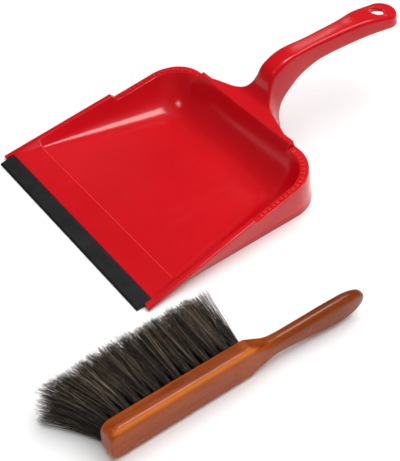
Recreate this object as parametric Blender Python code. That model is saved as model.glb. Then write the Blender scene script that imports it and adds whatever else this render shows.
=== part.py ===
"""Dust pan and hand brush set.

A one-piece moulded dust pan with a slotted rubber lip, and beside it a wooden hand brush that lies
on its flank. The brush's tufts are seated in blind holes of its block.
World frame: metres, +Z up, the floor is z = 0, the pan's handle points along +Y. The origin is under
the middle of the rubber lip.
"""
import math

import bmesh
import bpy
from mathutils import Matrix, Vector

MM = 0.001

# --- Common values -------------------------------------------------------------------------------
GAP = 0.3 * MM                  # clearance between touching pieces
WALL = 2.2 * MM                 # wall thickness of the moulding

# --- Pan: plan sizes, y counted from the lip's front edge ----------------------------------------
LIP_WIDTH = 235.0 * MM          # rubber lip, end to end
LIP_DEPTH = 15.2 * MM           # rubber lip, front to back
LIP_HEIGHT = 5.3 * MM           # its rear edge
LIP_NOSE = 1.2 * MM             # its front edge
LIP_LEAF = 1.1 * MM             # rubber below the tongue
TONGUE_START = 0.5              # the tongue's tip, as a share of the lip's depth
FLANGE_SIDE_GAP = 1.1 * MM      # between the lip's ends and the pan's side flanges
FLANGE_WIDTH = 5.5 * MM         # flat rim round the tray
RIM_BAND = 2.2 * MM             # upright outer edge of the rim
RIM_CHAMFER = 0.8 * MM
RIM_FRONT_Y = 7.8 * MM
RIM_FRONT_Z = 3.4 * MM
RIM_SLOPE = 0.2255              # rise of the rim plane for each unit of y
SIDE_TAPER = 0.067              # how much each side closes in for each unit of y
RIM_REAR_Y = 209.5 * MM
RIM_CORNER = 37.0 * MM
SKIRT_INSET = 8.0 * MM          # foot of the skirt inside the rim, at the front
SKIRT_TAPER = 0.0347
SKIRT_REAR_Y = 223.0 * MM
SKIRT_CORNER = 42.0 * MM

# --- Pan: tray -----------------------------------------------------------------------------------
FLOOR_Z = 5.0 * MM
RIDGE_Z = 7.0 * MM              # crest of the ramp behind the lip
RIDGE_Y = 42.7 * MM
RIDGE_STEP = 1.8 * MM           # length of the step down to the floor
FRONT_WALL_RUN = 2.8 * MM       # side wall's run beside the ramp
CREASE_INSET = 9.3 * MM         # floor edge inside the rim's inner edge, at the ridge
CREASE_REAR_INSET = 31.4 * MM   # the same beside the rear corner
CREASE_REAR_RUN = 33.5 * MM     # run of the scooped rear wall
CREASE_CORNER = 20.0 * MM
SIDE_BEND = 0.3                 # where a side wall turns upwards, as a share of its run
REAR_BEND = 0.7                 # the same for the scooped rear wall
FOOT_GROW = 0.6                 # the shell's floor edge moves out by this share of the wall

# --- Pan: comb ledge -----------------------------------------------------------------------------
LEDGE_DROP = 5.7 * MM
LEDGE_START_Y = 131.5 * MM
LEDGE_END_X = 70.0 * MM
NOTCH_RUN = 5.0 * MM            # length of the slanted step at the ledge's front end
TOOTH_PITCH = 4.8 * MM
TOOTH_LENGTH = 2.5 * MM         # along the rim
TOOTH_DEPTH = 3.3 * MM          # across the rim
TOOTH_START = 0.05              # share of that depth left free at the ledge's inner edge
TOOTH_HEIGHT = 1.5 * MM

# --- Pan: handle ---------------------------------------------------------------------------------
HANDLE_LENGTH = 188.5 * MM      # from the rim's rear edge to the handle's end
HANDLE_END_RADIUS = 16.2 * MM
HANDLE_EDGE = 2.6 * MM          # rounding along the grip's upper edges
NECK_EDGE = 5.2 * MM            # the same round the goose-neck's bend
HANDLE_DRAFT = 1.8 * MM         # each side wall leans out by this much
HOLE_RADIUS = 7.8 * MM
HOLE_FROM_END = 24.5 * MM

# --- Brush: wooden block, y counted from its toe, z from its bristle face --------------------------
BLOCK_WIDTH = 34.0 * MM
BLOCK_THICK = 14.5 * MM
BLOCK_LENGTH = 129.0 * MM
BLOCK_TOE = 9.0 * MM            # corner radius at the toe, in plan
BLOCK_BACK_EDGE = 5.0 * MM
BLOCK_FACE_EDGE = 1.5 * MM
GRIP_LENGTH = 117.0 * MM        # neck and paddle, behind the bristle block
NECK_WIDTH = 19.0 * MM
PADDLE_WIDTH = 27.0 * MM
GRIP_THICK = 11.5 * MM
GRIP_LIFT = 3.5 * MM            # the paddle's middle stands this far towards the back
GRIP_DROP = 1.5 * MM            # the grip's lower face starts this far under that lift
GRIP_ROUNDING = 0.94            # edge rounding as a share of half the thickness
PADDLE_END = 0.24               # share of the grip that rounds off into its end
END_TURN = math.radians(82)     # the end's rounding stops here, on a small flat
END_FULLNESS = 0.8              # less than one makes the end blunter than a half circle
END_THICK = 0.35                # the end's thickness as a share of the grip's

# --- Brush: tufts --------------------------------------------------------------------------------
TUFT_ROWS = 4
TUFT_COLUMNS = 14
TUFT_RADIUS = 2.8 * MM
TUFT_LENGTH = 60.0 * MM
TUFT_SEAT = 8.0 * MM            # length held in the block
TUFT_PLAY = 0.1 * MM            # added to the gap round a tuft in its hole
TUFT_FLARE = 0.34               # share of the length over which a tuft spreads to its full size
TUFT_CORNER = 1.2               # how far a tuft's corners reach, against its sides
TUFT_GAP = 0.35 * MM            # between neighbouring tufts
TUFT_MARGIN = 1.5 * MM          # wood left outside the outer holes
TOE_FAN = math.radians(29)
HEEL_FAN = math.radians(5)
FAN_TURN = 0.64                 # the bristles stand upright at this share of the block's length
TOE_CURL = 2.2                  # how late the lean sets in towards the toe
HEEL_CURL = 1.5                 # the same towards the heel
UP_FAN = math.radians(3.5)
DOWN_FAN = math.radians(0.6)
FLOOR_SPREAD = 0.13             # the rows on the floor fan out by this share more, the top ones less

# --- Where the brush lies ------------------------------------------------------------------------
BRUSH_X = 214.5 * MM            # its bristle face
BRUSH_Y = -96.0 * MM            # its toe

# --- Fineness ------------------------------------------------------------------------------------
SIDE_STEPS = 8
CORNER_STEPS = 8
REAR_STEPS = 3
WALL_STEPS = 5
END_STEPS = 7
EDGE_STEPS = 3                  # round the handle's upper edges
ROUND_STEPS = 4                 # round each corner of a brush section
TOE_STEPS = 6
PADDLE_STEPS = 8
TUFT_SIDES = 8
HOLE_SIDES = 24
FAR = 30.0 * MM                 # how far cutters reach past what they cut


# --- Scene helpers -------------------------------------------------------------------------------
def clear_scene():
    for item in list(bpy.data.objects):
        bpy.data.objects.remove(item, do_unlink=True)


def plain_material(name, colour, roughness):
    material = bpy.data.materials.new(name)
    material.use_nodes = True
    shader = material.node_tree.nodes["Principled BSDF"]
    shader.inputs["Base Color"].default_value = (*colour, 1.0)
    shader.inputs["Roughness"].default_value = roughness
    shader.inputs["Metallic"].default_value = 0.0
    return material


def add_object(name, vertices, faces, material=None, parent=None):
    mesh = bpy.data.meshes.new(name)
    mesh.from_pydata([tuple(v) for v in vertices], [], faces)
    mesh.update()
    mesh.shade_smooth()
    mesh.set_sharp_from_angle(angle=math.radians(32))
    item = bpy.data.objects.new(name, mesh)
    bpy.context.scene.collection.objects.link(item)
    if material:
        mesh.materials.append(material)
    item.parent = parent
    return item


def add_guide(name, vertices, faces, parent=None):
    """A solid that only shapes another one."""
    item = add_object(name, vertices, faces, parent=parent)
    item.hide_render = True
    item.display_type = 'WIRE'
    return item


def combine(target, tool, operation):
    modifier = target.modifiers.new(tool.name, 'BOOLEAN')
    modifier.operation = operation
    modifier.solver = 'EXACT'
    modifier.object = tool


def loft(rings):
    """A closed solid through rings of equal length, each counter-clockwise seen from the last one."""
    count = len(rings[0])
    vertices = [point for ring in rings for point in ring]
    faces = [tuple(reversed(range(count)))]
    for level in range(len(rings) - 1):
        low, high = level * count, (level + 1) * count
        for i in range(count):
            j = (i + 1) % count
            faces.append((low + i, low + j, high + j, high + i))
    top = (len(rings) - 1) * count
    faces.append(tuple(range(top, top + count)))
    return vertices, faces


def mix(a, b, share):
    return a + (b - a) * share


def smooth_curve(points, steps):
    """Points on a Catmull-Rom curve through the given tuples, steps to each span."""
    padded = [points[0], *points, points[-1]]
    result = []
    for k in range(len(points) - 1):
        p0, p1, p2, p3 = (Vector(p) for p in padded[k:k + 4])
        for i in range(steps):
            t = i / steps
            result.append(0.5 * ((2 * p1) + (p2 - p0) * t + (2 * p0 - 5 * p1 + 4 * p2 - p3) * t ** 2
                                 + (3 * p1 - p0 - 3 * p2 + p3) * t ** 3))
    result.append(Vector(points[-1]))
    return result


# --- Pan outlines --------------------------------------------------------------------------------
def rim_z(y):
    """Height of the rim plane."""
    return RIM_FRONT_Z + RIM_SLOPE * (y - RIM_FRONT_Y)


def rim_half(y):
    """Half the width over the rim's outer edge, on the straight sides."""
    front_half = LIP_WIDTH / 2 + FLANGE_SIDE_GAP + FLANGE_WIDTH
    return front_half - SIDE_TAPER * (y - RIM_FRONT_Y)


def skirt_half(y):
    return rim_half(RIM_FRONT_Y) - SKIRT_INSET - SKIRT_TAPER * (y - RIM_FRONT_Y)


def half_outline(half_width, front_y, rear_y, corner):
    """Right half of a U-shaped outline: up the side, round the corner, to the middle of the rear."""
    side_end = rear_y - corner
    points = []
    for i in range(SIDE_STEPS):
        y = mix(front_y, side_end, i / SIDE_STEPS)
        points.append((half_width(y), y))
    centre_x = half_width(side_end) - corner
    for i in range(CORNER_STEPS):
        angle = math.pi / 2 * i / CORNER_STEPS
        points.append((centre_x + corner * math.cos(angle), side_end + corner * math.sin(angle)))
    for i in range(REAR_STEPS + 1):
        points.append((centre_x * (1 - i / REAR_STEPS), rear_y))
    return points


def whole(half):
    """Both halves of an outline, counter-clockwise seen from above."""
    return half + [(-x, y) for x, y in reversed(half[:-1])]


def rim_outline(inset, front_y):
    return half_outline(lambda y: rim_half(y) - inset, front_y, RIM_REAR_Y - inset, RIM_CORNER - inset)


def skirt_outline(inset, front_y):
    return half_outline(lambda y: skirt_half(y) - inset, front_y, SKIRT_REAR_Y - inset,
                        SKIRT_CORNER - inset)


def on_plane(outline, drop):
    """An outline laid on the rim plane, or this far below it."""
    return [Vector((x, y, rim_z(y) - drop)) for x, y in outline]


def flat(outline, z):
    return [Vector((x, y, z)) for x, y in outline]


# --- Pan shell -----------------------------------------------------------------------------------
def outer_body():
    edge = whole(rim_outline(0.0, RIM_FRONT_Y))
    foot = whole(skirt_outline(0.0, RIM_FRONT_Y))
    top = whole(rim_outline(RIM_CHAMFER, RIM_FRONT_Y))
    return loft([flat(foot, 0.0), on_plane(edge, RIM_BAND), on_plane(edge, RIM_CHAMFER),
                 on_plane(top, 0.0)])


def underside_hollow():
    front_y = LIP_DEPTH + GAP + WALL
    edge = whole(rim_outline(WALL, front_y))
    foot = whole(skirt_outline(WALL, front_y))
    return loft([flat(foot, -FAR), flat(foot, 0.0), on_plane(edge, WALL)])


def ledge_block(grow):
    """Space over the right-hand comb ledge; grow takes it down and towards the front and middle."""
    bottom = LEDGE_DROP + grow
    reach = (FAR + bottom) / LEDGE_DROP * NOTCH_RUN
    low_y, low_x = LEDGE_START_Y - grow, LEDGE_END_X - grow
    high_y, high_x = low_y - reach, low_x - reach / 3
    far_x, far_y = 2 * LIP_WIDTH, 2 * RIM_REAR_Y
    low = [(low_x, low_y), (far_x, low_y), (far_x, far_y), (low_x, far_y)]
    high = [(high_x, high_y), (far_x, high_y), (far_x, far_y), (high_x, far_y)]
    return loft([on_plane(low, bottom), on_plane(high, -FAR)])


def mirrored(solid):
    vertices, faces = solid
    return ([Vector((-v[0], v[1], v[2])) for v in vertices], [tuple(reversed(f)) for f in faces])


def floor_edge(inner_rim, front_ys):
    """Right half of the floor's edge as 3-D points, one for each point of the tray's rim."""
    start_y = front_ys[-1]
    lip_z = LIP_HEIGHT
    ramp = (RIDGE_Z - lip_z) / (RIDGE_Y - LIP_DEPTH)
    points = []
    for y in front_ys:
        share = (y - LIP_DEPTH) / (start_y - LIP_DEPTH)
        run = mix(FRONT_WALL_RUN, CREASE_INSET, max(0.0, share))
        z = FLOOR_Z if y > RIDGE_Y else lip_z + ramp * (y - LIP_DEPTH)
        points.append(Vector((inner_rim(y) - run, y, z)))
    rear_y = RIM_REAR_Y - FLANGE_WIDTH - CREASE_REAR_RUN
    side_end = rear_y - CREASE_CORNER
    start_x = inner_rim(start_y) - CREASE_INSET
    end_x = inner_rim(RIM_REAR_Y - RIM_CORNER) - CREASE_REAR_INSET

    def half_width(y):
        return mix(start_x, end_x, (y - start_y) / (side_end - start_y))

    outline = half_outline(half_width, start_y, rear_y, CREASE_CORNER)
    return points + [Vector((x, y, FLOOR_Z)) for x, y in outline[1:]]


def bowl(front_y, grow, top_drop):
    """The tray's hollow; grow moves its surface out by a wall, top_drop is its top under the rim."""
    front_ys = [front_y, LIP_DEPTH + GAP + WALL, RIDGE_Y, RIDGE_Y + RIDGE_STEP]

    def inner_rim(y):
        return rim_half(y) - FLANGE_WIDTH

    rim = [(inner_rim(y), y) for y in front_ys[:-1]] + rim_outline(FLANGE_WIDTH, front_ys[-1])
    stations = []
    for foot, (rim_x, rim_y) in zip(floor_edge(inner_rim, front_ys), rim):
        head = Vector((rim_x, rim_y, rim_z(rim_y)))
        out = Vector((head.x - foot.x, head.y - foot.y, 0.0))
        side = out.normalized()
        bend = mix(SIDE_BEND, REAR_BEND, abs(side.y))
        low = foot + side * grow * FOOT_GROW - Vector((0, 0, grow))
        high = head + side * grow
        knee = low + out * bend
        column = [low * (1 - t) ** 2 + knee * 2 * t * (1 - t) + high * t ** 2
                  for t in (i / WALL_STEPS for i in range(WALL_STEPS))]
        stations.append(column + [Vector((high.x, high.y, rim_z(high.y) - top_drop))])
    return bowl_mesh(stations, len(front_ys))


def bowl_mesh(half, front_count):
    left = [[Vector((-p.x, p.y, p.z)) for p in column] for column in reversed(half[:-1])]
    stations = half + left
    count, height = len(stations), len(half[0])
    vertices = [point for column in stations for point in column]
    faces = []
    for i in range(count - 1):
        for k in range(height - 1):
            a, b = i * height + k, (i + 1) * height + k
            faces.append((a, b, b + 1, a + 1))
    last = count - 1
    for i in range(front_count - 1):
        a, b = i * height, (i + 1) * height
        c, d = (last - i - 1) * height, (last - i) * height
        faces.append((d, c, b, a))
    first = front_count - 1
    faces.append(tuple(i * height for i in range(last - first, first - 1, -1)))
    faces.append(tuple(i * height + height - 1 for i in range(count)))
    front = [k for k in range(height)] + [last * height + k for k in reversed(range(height))]
    faces.append(tuple(front))
    return vertices, faces


# --- Lip, tongue and comb ------------------------------------------------------------------------
def prism(profile, half_width):
    """A solid with a (y, z) profile, counter-clockwise seen from +X, across the pan."""
    rings = [[Vector((x, y, z)) for y, z in profile] for x in (-half_width, half_width)]
    return loft(rings)


def lip_profile():
    slope = (LIP_HEIGHT - LIP_NOSE) / LIP_DEPTH
    tip_y, _ = tongue_tip()
    slot_y, slot_top = tip_y - GAP, LIP_HEIGHT - slope * (LIP_DEPTH - tip_y) - LIP_LEAF
    return [(0.0, 0.0), (LIP_DEPTH, 0.0), (LIP_DEPTH, LIP_LEAF), (slot_y, LIP_LEAF),
            (slot_y, slot_top), (LIP_DEPTH, LIP_HEIGHT - LIP_LEAF), (LIP_DEPTH, LIP_HEIGHT),
            (0.0, LIP_NOSE)]


def tongue_tip():
    """Front end of the tongue: where its top meets its flat underside, less a blunt edge."""
    slope = (LIP_HEIGHT - LIP_NOSE) / LIP_DEPTH
    tip_y = LIP_DEPTH * TONGUE_START
    return tip_y, LIP_HEIGHT - slope * (LIP_DEPTH - tip_y) - LIP_LEAF - GAP


def tongue_profile():
    tip_y, tip_z = tongue_tip()
    slope = (LIP_HEIGHT - LIP_NOSE) / LIP_DEPTH
    root_y = LIP_DEPTH + GAP + WALL / 2
    under = LIP_LEAF + GAP
    return [(tip_y, under), (root_y, under), (root_y, tip_z + slope * (root_y - tip_y)),
            (tip_y, tip_z)]


def comb_path():
    """The rim's inner edge along the right-hand ledge, with its outward direction."""
    edge = [Vector(p) for p in rim_outline(FLANGE_WIDTH, RIM_FRONT_Y)]
    run, travelled, places = TOOTH_PITCH, 0.0, []
    for a, b in zip(edge, edge[1:]):
        length = (b - a).length
        while travelled + length >= run:
            point = a.lerp(b, (run - travelled) / length)
            along = (b - a).normalized()
            if point.y > LEDGE_START_Y + TOOTH_LENGTH and point.x > LEDGE_END_X + TOOTH_LENGTH:
                places.append((point, along))
            run += TOOTH_PITCH
        travelled += length
    return places


def comb_teeth():
    """Small upright ribs on both ledges, each sunk a little into the ledge."""
    vertices, faces = [], []
    for point, along in comb_path():
        outward = Vector((along.y, -along.x))
        for sign in (1, -1):
            base = len(vertices)
            corners = []
            for depth, length in ((TOOTH_START, -0.5), (1.0, -0.5), (1.0, 0.5), (TOOTH_START, 0.5)):
                corner = point + outward * TOOTH_DEPTH * depth + along * TOOTH_LENGTH * length
                corners.append((sign * corner.x, corner.y))
            if sign < 0:
                corners.reverse()
            solid = loft([on_plane(corners, LEDGE_DROP + WALL / 2),
                          on_plane(corners, LEDGE_DROP - TOOTH_HEIGHT)])
            vertices += solid[0]
            faces += [tuple(base + i for i in face) for face in solid[1]]
    return vertices, faces


# --- Handle --------------------------------------------------------------------------------------
def handle_stations():
    """Top y and z, lower edge y and z, half-width and edge rounding, from the rim back to the end.

    The first rows flare into the rim, the next climb the goose-neck, the rest run along the grip."""
    rear_z = rim_z(RIM_REAR_Y)
    grip_start = 75 * MM
    grip_end = HANDLE_LENGTH - HANDLE_END_RADIUS - HANDLE_DRAFT
    root = [(-3.5, -0.9, 11, -46.5, LEDGE_END_X / MM - 4), (1.5, 0.2, 16, -43, 51),
            (7.5, 2.0, 22, -35, 30), (12, 5.9, 25.5, -25, 20), (16, 12.9, 28, -15, 14.4),
            (19, 21.8, 32, -5.7, 11.8), (23.5, 30.5, 37.5, 2.3, 11.3), (31.5, 36.1, 45, 9.8, 11.2),
            (40.5, 39.6, 54, 16.3, 10.6), (51.5, 41.2, 66, 21.3, 10.0), (75, 42.6, 79, 24.8, 9.6)]
    edges = [0.6, 0.8, 1.6, 2.6, 3.6, NECK_EDGE / MM, NECK_EDGE / MM, NECK_EDGE / MM, 4.2, 3.2,
             HANDLE_EDGE / MM]
    rows = [tuple(value * MM for value in (*row, edge)) for row, edge in zip(root, edges)]
    for share, top_z, low_z, half in ((0.45, 44.6, 28.0, 10.9), (0.7, 45.3, 29.9, 13.6)):
        y = mix(grip_start, grip_end, share)
        rows.append((y, top_z * MM, y, low_z * MM, half * MM, HANDLE_EDGE))
    rows.append((grip_end, 41.4 * MM, grip_end, 29.4 * MM, HANDLE_END_RADIUS, HANDLE_EDGE))
    return [(RIM_REAR_Y + top_y, rear_z + top_z, RIM_REAR_Y + low_y, rear_z + low_z, half, edge)
            for top_y, top_z, low_y, low_z, half, edge in rows]


def wall_line(top, low, half_top, half_low, edge):
    """Left wall from its foot up to the flat top, as seen along the handle, with a rounded edge."""
    down = (low - top).normalized()
    points = [low - Vector((half_low, 0, 0))]
    for step in range(EDGE_STEPS + 1):
        angle = math.pi / 2 * step / EDGE_STEPS
        x = half_top - edge * (1 - math.cos(angle))
        points.append(top - Vector((x, 0, 0)) + down * edge * (1 - math.sin(angle)))
    return points


def channel_ring(outer, inner):
    """One ring of the inverted-U section: over the outside, and back along the inside."""
    def other_side(line):
        return [Vector((-p.x, p.y, p.z)) for p in line]

    return (outer + list(reversed(other_side(outer)))
            + other_side(inner) + list(reversed(inner)))


def handle_rings():
    stations = smooth_curve(handle_stations(), 3)
    rings = []
    for top_y, top_z, low_y, low_z, half, edge in stations:
        top, low = Vector((0, top_y, top_z)), Vector((0, low_y, low_z))
        inner_top = top + (low - top).normalized() * WALL
        foot = half + HANDLE_DRAFT
        inner_edge = max(edge - WALL, WALL / 3)
        rings.append(channel_ring(wall_line(top, low, half, foot, edge),
                                  wall_line(inner_top, low, half - WALL, foot - WALL, inner_edge)))
    return rings + handle_end_rings(*stations[-1])


def handle_end_rings(end_y, top_z, _, low_z, radius, edge):
    """The round end: every line of the section turns about the same upright axis."""
    rings = []
    for step in range(1, END_STEPS + 1):
        angle = math.pi / 2 * step / END_STEPS
        lines = []
        for inset, rounding in ((0.0, edge), (WALL, max(edge - WALL, WALL / 3))):
            line = wall_line(Vector((0, 0, top_z - inset)), Vector((0, 0, low_z)), radius - inset,
                             radius + HANDLE_DRAFT - inset, rounding)
            lines.append([Vector((p.x * math.cos(angle), end_y - p.x * math.sin(angle), p.z))
                          for p in line])
        rings.append(channel_ring(*lines))
    return rings


def handle_shell(parent):
    """The channel section as a closed solid; its last ring folds flat and is welded shut."""
    rings = handle_rings()
    vertices, faces = loft(rings)
    shell = add_guide("handle_shell", vertices, faces[:-1], parent)
    grid = bmesh.new()
    grid.from_mesh(shell.data)
    bmesh.ops.remove_doubles(grid, verts=grid.verts, dist=0.01 * MM)
    grid.to_mesh(shell.data)
    grid.free()
    return shell


def cylinder(centre, radius, low_z, high_z, sides):
    ring = [(centre[0] + radius * math.cos(2 * math.pi * i / sides),
             centre[1] + radius * math.sin(2 * math.pi * i / sides)) for i in range(sides)]
    return loft([flat(ring, low_z), flat(ring, high_z)])


def hole_centre_y():
    return RIM_REAR_Y + HANDLE_LENGTH - HOLE_FROM_END


# --- Pan assembly --------------------------------------------------------------------------------
def build_dustpan(parent, material):
    pan = add_object("dustpan", *outer_body(), material, parent)
    hollow = add_guide("underside_hollow", *underside_hollow(), parent)
    right_keep = add_guide("ledge_keep_right", *ledge_block(WALL), parent)
    left_keep = add_guide("ledge_keep_left", *mirrored(ledge_block(WALL)), parent)
    combine(hollow, right_keep, 'DIFFERENCE')
    combine(hollow, left_keep, 'DIFFERENCE')
    hole_y = hole_centre_y()
    pocket_rear = LIP_DEPTH + GAP
    pocket = [(-FAR, -FAR), (pocket_rear, -FAR), (pocket_rear, FAR), (-FAR, FAR)]
    pocket_half = LIP_WIDTH / 2 + GAP
    steps = [
        (hollow, 'DIFFERENCE'),
        (handle_shell(parent), 'UNION'),
        (add_guide("tray_shell", *bowl(pocket_rear, WALL, WALL / 2), parent), 'UNION'),
        (add_guide("tray_space", *bowl(-FAR, 0.0, -FAR), parent), 'DIFFERENCE'),
        (add_guide("ledge_right", *ledge_block(0.0), parent), 'DIFFERENCE'),
        (add_guide("ledge_left", *mirrored(ledge_block(0.0)), parent), 'DIFFERENCE'),
        (add_guide("lip_pocket", *prism(pocket, pocket_half), parent), 'DIFFERENCE'),
        (add_guide("tongue", *prism(tongue_profile(), LIP_WIDTH / 2), parent), 'UNION'),
        (add_guide("comb_teeth", *comb_teeth(), parent), 'UNION'),
        (add_guide("hanging_hole", *cylinder((0, hole_y), HOLE_RADIUS, 0.0, rim_z(hole_y) + FAR,
                                              HOLE_SIDES), parent), 'DIFFERENCE'),
    ]
    for tool, operation in steps:
        combine(pan, tool, operation)


def build_lip(parent, material):
    add_object("rubber_lip", *prism(lip_profile(), LIP_WIDTH / 2), material, parent)


# --- Brush ---------------------------------------------------------------------------------------
def rounded_section(y, half_width, low_z, high_z, low_edge, high_edge):
    """A rounded rectangle across the brush, counter-clockwise seen from the handle's end."""
    corners = [(half_width - low_edge, low_z + low_edge, low_edge, -90),
               (half_width - high_edge, high_z - high_edge, high_edge, 0),
               (high_edge - half_width, high_z - high_edge, high_edge, 90),
               (low_edge - half_width, low_z + low_edge, low_edge, 180)]
    ring = []
    for x, z, radius, start in corners:
        for step in range(ROUND_STEPS + 1):
            angle = math.radians(start + 90 * step / ROUND_STEPS)
            ring.append(Vector((x + radius * math.cos(angle), y, z + radius * math.sin(angle))))
    return ring


def block_rings():
    half, toe = BLOCK_WIDTH / 2, BLOCK_TOE
    rings = []
    for step in range(TOE_STEPS + 1):
        angle = math.pi / 2 * step / TOE_STEPS
        y = toe * (1 - math.cos(angle))
        width = half - toe * (1 - math.sin(angle))
        rings.append(rounded_section(y, width, 0.0, BLOCK_THICK, BLOCK_FACE_EDGE, BLOCK_BACK_EDGE))
    rings.append(rounded_section(BLOCK_LENGTH, half, 0.0, BLOCK_THICK, BLOCK_FACE_EDGE,
                                 BLOCK_BACK_EDGE))
    return rings


def grip_rings():
    """Neck and paddle: place along the grip, half-width, lower and upper face, edge rounding."""
    low, high = GRIP_LIFT - GRIP_DROP, GRIP_LIFT - GRIP_DROP + GRIP_THICK
    full = GRIP_THICK / 2 * GRIP_ROUNDING
    half, neck, paddle = BLOCK_WIDTH / 2, NECK_WIDTH / 2, PADDLE_WIDTH / 2
    lift = GRIP_LIFT
    rows = [(0.0, half, 0.0, BLOCK_THICK, BLOCK_FACE_EDGE, BLOCK_BACK_EDGE),
            (0.07, mix(half, neck, 0.42), 0.6 * MM, BLOCK_THICK - 0.4 * MM, 3.2 * MM, 5.0 * MM),
            (0.16, mix(half, neck, 0.9), low, high + 0.6 * MM, full * 0.8, full * 0.9),
            (0.25, neck, low + lift * 0.1, high + lift * 0.1, full, full),
            (0.45, mix(neck, paddle, 0.3), low + lift * 0.4, high + lift * 0.4, full, full),
            (0.65, mix(neck, paddle, 0.85), low + lift * 0.8, high + lift * 0.8, full, full),
            (0.76, paddle, low + lift, high + lift, full, full)]
    rings = []
    for share, width, z0, z1, edge0, edge1 in smooth_curve(rows, 3)[1:]:
        rings.append(rounded_section(BLOCK_LENGTH + GRIP_LENGTH * share, width, z0, z1, edge0, edge1))
    end_y, round_run = BLOCK_LENGTH + GRIP_LENGTH, GRIP_LENGTH * PADDLE_END
    middle = (low + high) / 2 + lift
    for step in range(1, PADDLE_STEPS + 1):
        angle = END_TURN * step / PADDLE_STEPS
        shrink = math.cos(angle) ** END_FULLNESS
        thick = GRIP_THICK / 2 * mix(END_THICK, 1.0, shrink)
        edge = min(thick, paddle * shrink) * GRIP_ROUNDING
        rings.append(rounded_section(end_y - round_run * (1 - math.sin(angle)), paddle * shrink,
                                     middle - thick, middle + thick, edge, edge))
    return rings


def tuft_pitches():
    row_pitch = (BLOCK_WIDTH - 2 * (TUFT_MARGIN + hole_radius())) / (TUFT_ROWS - 1)
    first_y = BLOCK_TOE - TUFT_MARGIN
    column_pitch = (BLOCK_LENGTH - first_y - hole_radius() - TUFT_MARGIN) / (TUFT_COLUMNS - 1)
    return row_pitch, first_y, column_pitch


def hole_radius():
    return TUFT_RADIUS + GAP + TUFT_PLAY


def tuft_places():
    """Name and hole centre of every tuft."""
    row_pitch, first_y, column_pitch = tuft_pitches()
    for row in range(TUFT_ROWS):
        for column in range(TUFT_COLUMNS):
            x = (row - (TUFT_ROWS - 1) / 2) * row_pitch
            yield f"tuft_r{row + 1}_c{column + 1:02d}", x, first_y + column * column_pitch


def length_fan(y):
    """Lean of the bristles along the brush: out over the toe, a little towards the grip behind."""
    turn = BLOCK_LENGTH * FAN_TURN
    if y < turn:
        return -TOE_FAN * ((turn - y) / turn) ** TOE_CURL
    return HEEL_FAN * ((y - turn) / (BLOCK_LENGTH - turn)) ** HEEL_CURL


def width_fan(x):
    share = x / (BLOCK_WIDTH / 2)
    return DOWN_FAN * share if share > 0 else UP_FAN * share


def bristle_point(x, y, run):
    """Where a bristle rooted at x, y is after this run from the block's face."""
    across = width_fan(x)
    along = length_fan(y) * (1 + FLOOR_SPREAD * x / (BLOCK_WIDTH / 2))
    return Vector((x + run * math.sin(across), y + run * math.sin(along), -run * math.cos(along)))


def gap_towards(direction):
    """The gap on the side a unit vector's component points to; none where it points neither way."""
    return math.copysign(TUFT_GAP, direction) if round(direction, 3) else 0.0


def tuft_solid(x, y):
    """A round seat in the hole, spreading into the tuft's own share of the brush."""
    row_pitch, _, column_pitch = tuft_pitches()
    turns = [2 * math.pi / TUFT_SIDES * i for i in range(TUFT_SIDES)]
    seat = [(x + TUFT_RADIUS * math.cos(turn), y + TUFT_RADIUS * math.sin(turn)) for turn in turns]
    rings = [flat(seat, TUFT_SEAT), flat(seat, 0.0)]
    for run in (TUFT_LENGTH * TUFT_FLARE, TUFT_LENGTH):
        ring = []
        for turn in turns:
            across, along = math.cos(turn), math.sin(turn)
            stretch = min(1 / max(abs(across), abs(along)), TUFT_CORNER)
            point = bristle_point(x + row_pitch / 2 * across * stretch,
                                  y + column_pitch / 2 * along * stretch, run)
            point.x -= gap_towards(across)
            point.y -= gap_towards(along)
            ring.append(point)
        rings.append(ring)
    return loft([list(reversed(ring)) for ring in rings])


def build_brush(parent, wood, hair):
    block = add_object("brush_block", *loft([list(reversed(r)) for r in block_rings() + grip_rings()]),
                       wood, parent)
    vertices, faces = [], []
    for _, x, y in tuft_places():
        base = len(vertices)
        solid = cylinder((x, y), hole_radius(), -FAR / 10, TUFT_SEAT + GAP, TUFT_SIDES)
        vertices += solid[0]
        faces += [tuple(base + i for i in face) for face in solid[1]]
    combine(block, add_guide("tuft_holes", vertices, faces, parent), 'DIFFERENCE')
    for name, x, y in tuft_places():
        add_object(name, *tuft_solid(x, y), hair, parent)


def add_frame(name, matrix):
    empty = bpy.data.objects.new(name, None)
    bpy.context.scene.collection.objects.link(empty)
    empty.matrix_world = matrix
    return empty


def build():
    clear_scene()
    pan_frame = add_frame("pan_frame", Matrix.Translation((0, -LIP_DEPTH / 2, 0)))
    build_dustpan(pan_frame, plain_material("red_plastic", (0.62, 0.012, 0.015), 0.22))
    build_lip(pan_frame, plain_material("lip_rubber", (0.03, 0.03, 0.033), 0.6))
    lying = Matrix.Translation((BRUSH_X, BRUSH_Y - LIP_DEPTH / 2, BLOCK_WIDTH / 2))
    brush_frame = add_frame("brush_frame", lying @ Matrix.Rotation(math.pi / 2, 4, 'Y'))
    build_brush(brush_frame, plain_material("lacquered_wood", (0.32, 0.09, 0.025), 0.25),
                plain_material("horsehair", (0.03, 0.022, 0.016), 0.7))


build()
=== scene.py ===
"""Looks of the dust pan and hand brush set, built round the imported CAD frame.

The pan, the rubber lip and the wooden block are finer meshes of the CAD nodes' own shapes, with round
edges. Each CAD tuft gives way to single tapered bristles.
Metres, +Z up. Sizes of the pan count y from the lip's front edge; PAN_Y moves that edge into the frame.
"""
import math

import bmesh
import bpy
import numpy as np
from mathutils import Matrix, Vector


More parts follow.
